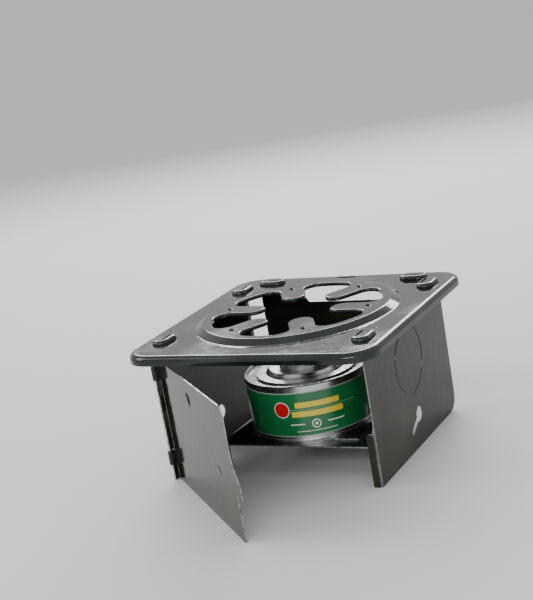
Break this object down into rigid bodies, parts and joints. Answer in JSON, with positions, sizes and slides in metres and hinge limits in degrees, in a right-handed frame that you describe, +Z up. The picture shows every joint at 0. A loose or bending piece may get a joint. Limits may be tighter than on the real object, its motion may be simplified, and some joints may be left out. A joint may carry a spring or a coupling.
{
  "type": "folding canister stove",
  "caption": "Square pressed-steel folding stove with a fingered pot ring, hinged walls, a swinging front wing, a shelf and a round fuel can inside.",
  "frame": {"origin": "on the ground under the middle of the whole box", "axes": "+Z up through the pot ring, +Y to the closed back, -Y to the open front, +X to the plain side wall"},
  "size_m": [0.19, 0.2654, 0.1051],
  "materials": {
    "black_enamel": "glossy baked black coating",
    "clip_black": "satin black",
    "bare_steel": "bright zinc",
    "tinplate": "bright turned tinplate",
    "label_green": "printed lacquer",
    "wick_cotton": "woven wick",
    "fuel_gel": "gelled fuel"
  },
  "bodies": {
    "top": {"top_plate": "black_enamel", "hinge_pins": "bare_steel", "right_wall": "black_enamel"},
    "left_wall": {"left_wall": "black_enamel"},
    "back_wall": {"back_wall": "black_enamel"},
    "wing_clips": {"lower_wing_clip": "clip_black", "upper_wing_clip": "clip_black"},
    "front_wing": {"front_wing": "black_enamel"},
    "shelf": {"can_shelf": "black_enamel", "shelf_post": "black_enamel", "can_body": "tinplate", "can_bottom_end": "tinplate", "can_top_end": "tinplate", "can_neck": "tinplate", "wick_deck": "tinplate", "wick": "wick_cotton", "fuel_fill": "fuel_gel", "can_label": "label_green"}
  },
  "joints": [
    {"name": "left_fold", "type": "hinge", "parent": "top", "child": "left_wall", "pos_m": [-0.0776, 0.03767, 0.101], "axis": [0, -1, 0], "range_deg": [0, 87]},
    {"name": "back_fold", "type": "hinge", "parent": "top", "child": "back_wall", "pos_m": [0, 0.11567, 0.101], "axis": [-1, 0, 0], "range_deg": [0, 90]},
    {"name": "clip_turn", "type": "hinge", "parent": "left_wall", "child": "wing_clips", "pos_m": [-0.0813, -0.03693, 0.045], "axis": [0, 0, -1], "range_deg": [0, 228.31]},
    {"name": "wing_swing", "type": "hinge", "parent": "wing_clips", "child": "front_wing", "pos_m": [-0.07891, -0.03425, 0.045], "axis": [0, 0, 1], "range_deg": [0, 41.7]},
    {"name": "shelf_out", "type": "slide", "parent": "top", "child": "shelf", "axis": [0, -1, 0], "range_m": [0, 0.313]}
  ],
  "couplings": [
    {"joint": "left_fold", "follows": "shelf_out", "rad_per_m": 4.8481},
    {"joint": "clip_turn", "follows": "shelf_out", "rad_per_m": 12.722}
  ]
}
